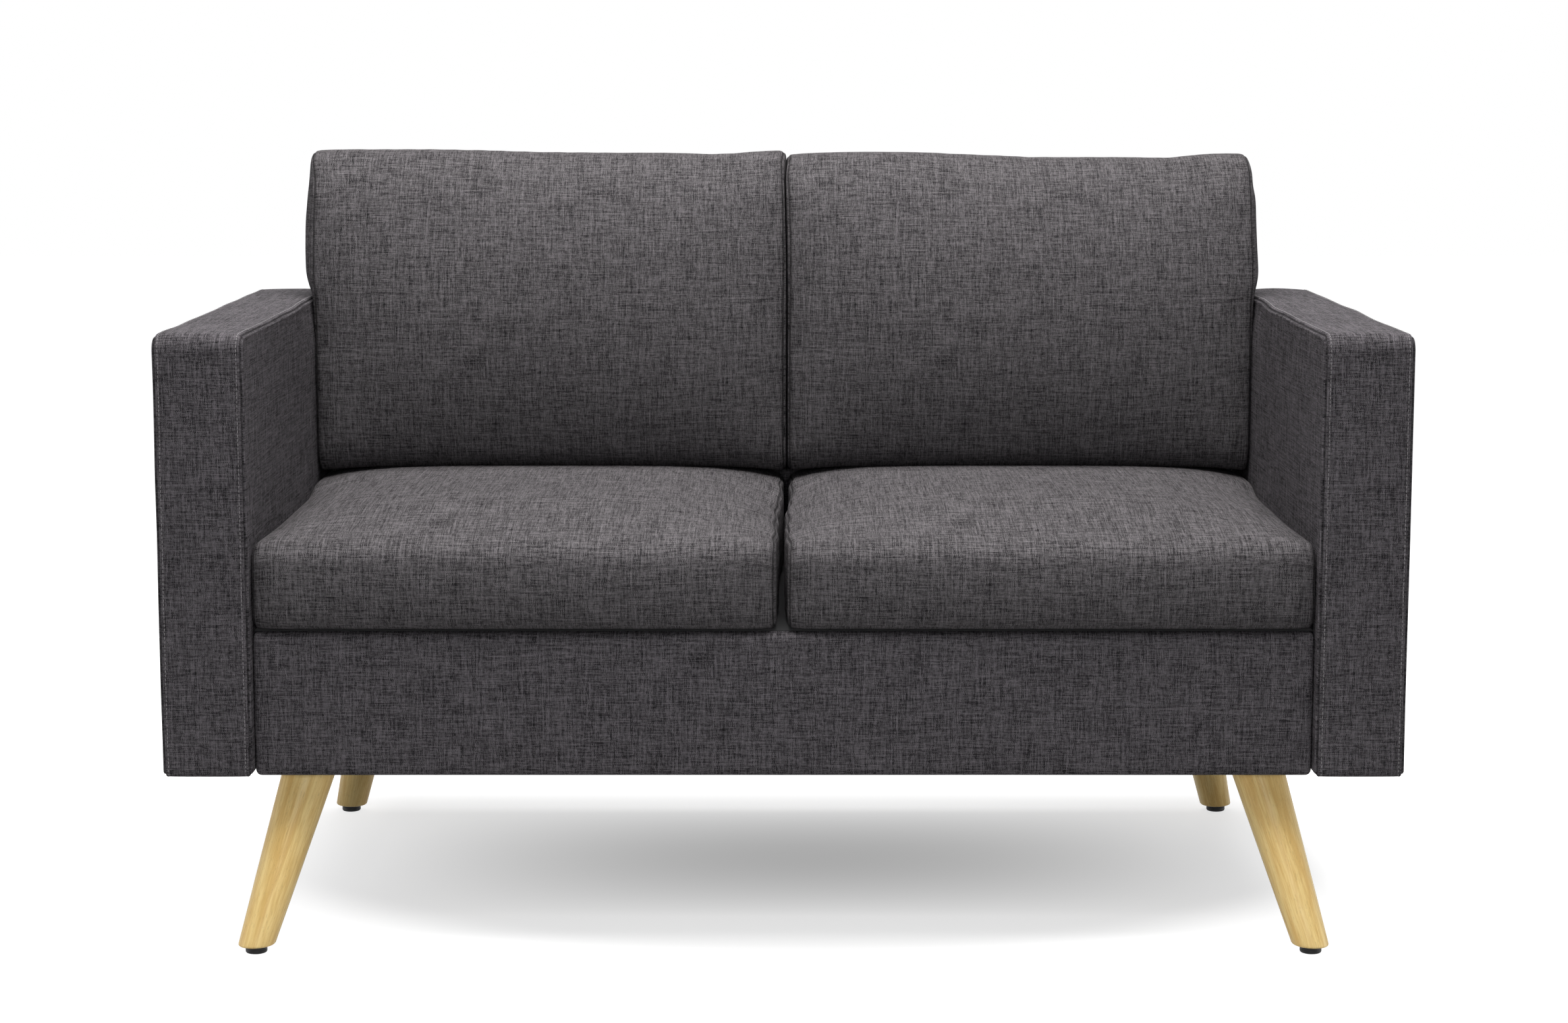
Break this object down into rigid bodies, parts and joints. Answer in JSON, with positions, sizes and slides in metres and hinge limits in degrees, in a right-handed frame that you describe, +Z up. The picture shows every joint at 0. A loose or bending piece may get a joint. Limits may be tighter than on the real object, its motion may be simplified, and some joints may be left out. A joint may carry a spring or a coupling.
{
  "type": "two-seat settee",
  "caption": "Two-seat upholstered settee with straight track arms, loose box seat cushions, loose leaning back cushions and splayed tapered wooden legs.",
  "frame": {"origin": "middle of the footprint, on the floor", "axes": "+X along the width to the right in the picture, +Y from the front to the back, +Z up"},
  "size_m": [1.3, 0.69, 0.8317],
  "materials": {
    "upholstery": "matt woven melange, dark charcoal grey",
    "cushion_fabric": "matt woven melange, dark charcoal grey",
    "leg_wood": "clear satin lacquer on pale wood",
    "timber": "bare sawn softwood",
    "board": "bare thin board",
    "foam": "open-cell foam",
    "steel": "zinc plated",
    "nylon": "black moulded, matt",
    "lining": "black non-woven cloth"
  },
  "bodies": {
    "frame": {"front_rail": "timber", "rear_rail": "timber", "side_rail_left": "timber", "leg_batten_left": "timber", "side_rail_right": "timber", "leg_batten_right": "timber", "seat_spring_1": "steel", "seat_spring_2": "steel", "seat_spring_3": "steel", "seat_spring_4": "steel", "seat_spring_5": "steel", "seat_spring_6": "steel", "deck_cloth": "lining", "apron_panel": "upholstery", "dust_cover": "lining", "back_cover": "upholstery", "back_board": "board", "back_top_rail": "timber", "back_post_left": "timber", "back_post_right": "timber", "arm_cover_left": "upholstery", "arm_pad_left": "foam", "arm_front_post_left": "timber", "arm_rear_post_left": "timber", "arm_top_rail_left": "timber", "arm_bottom_rail_left": "timber", "arm_bolt_front_left": "steel", "arm_bolt_rear_left": "steel", "arm_cover_right": "upholstery", "arm_pad_right": "foam", "arm_front_post_right": "timber", "arm_rear_post_right": "timber", "arm_top_rail_right": "timber", "arm_bottom_rail_right": "timber", "arm_bolt_front_right": "steel", "arm_bolt_rear_right": "steel", "leg_front_left": "leg_wood", "leg_bolt_front_left": "steel", "glide_front_left": "nylon", "leg_front_right": "leg_wood", "leg_bolt_front_right": "steel", "glide_front_right": "nylon", "leg_rear_left": "leg_wood", "leg_bolt_rear_left": "steel", "glide_rear_left": "nylon", "leg_rear_right": "leg_wood", "leg_bolt_rear_right": "steel", "glide_rear_right": "nylon"},
    "seat_cushion_left": {"seat_cushion_cover_left": "cushion_fabric", "seat_cushion_core_left": "foam"},
    "seat_cushion_zip_left": {"seat_cushion_zip_slider_left": "steel"},
    "seat_cushion_right": {"seat_cushion_cover_right": "cushion_fabric", "seat_cushion_core_right": "foam"},
    "seat_cushion_zip_right": {"seat_cushion_zip_slider_right": "steel"},
    "back_cushion_left": {"back_cushion_cover_left": "cushion_fabric", "back_cushion_core_left": "foam"},
    "back_cushion_zip_left": {"back_cushion_zip_slider_left": "steel"},
    "back_cushion_right": {"back_cushion_cover_right": "cushion_fabric", "back_cushion_core_right": "foam"},
    "back_cushion_zip_right": {"back_cushion_zip_slider_right": "steel"}
  },
  "joints": [
    {"name": "seat_cushion_lift_left", "type": "slide", "parent": "frame", "child": "seat_cushion_left", "axis": [0, 0, 1], "range_m": [0, 0.36]},
    {"name": "back_cushion_lift_left", "type": "slide", "parent": "seat_cushion_left", "child": "back_cushion_left", "axis": [0, 0, 1], "range_m": [0, 0.34]},
    {"name": "seat_cushion_lift_right", "type": "slide", "parent": "frame", "child": "seat_cushion_right", "axis": [0, 0, 1], "range_m": [0, 0.36]},
    {"name": "back_cushion_lift_right", "type": "slide", "parent": "seat_cushion_right", "child": "back_cushion_right", "axis": [0, 0, 1], "range_m": [0, 0.34]},
    {"name": "seat_cushion_zip_slide_left", "type": "slide", "parent": "seat_cushion_left", "child": "seat_cushion_zip_left", "axis": [-1, 0, 0], "range_m": [0, 0.44]},
    {"name": "seat_cushion_zip_slide_right", "type": "slide", "parent": "seat_cushion_right", "child": "seat_cushion_zip_right", "axis": [-1, 0, 0], "range_m": [0, 0.44]},
    {"name": "back_cushion_zip_slide_left", "type": "slide", "parent": "back_cushion_left", "child": "back_cushion_zip_left", "axis": [-1, 0, 0], "range_m": [0, 0.44]},
    {"name": "back_cushion_zip_slide_right", "type": "slide", "parent": "back_cushion_right", "child": "back_cushion_zip_right", "axis": [-1, 0, 0], "range_m": [0, 0.44]}
  ]
}
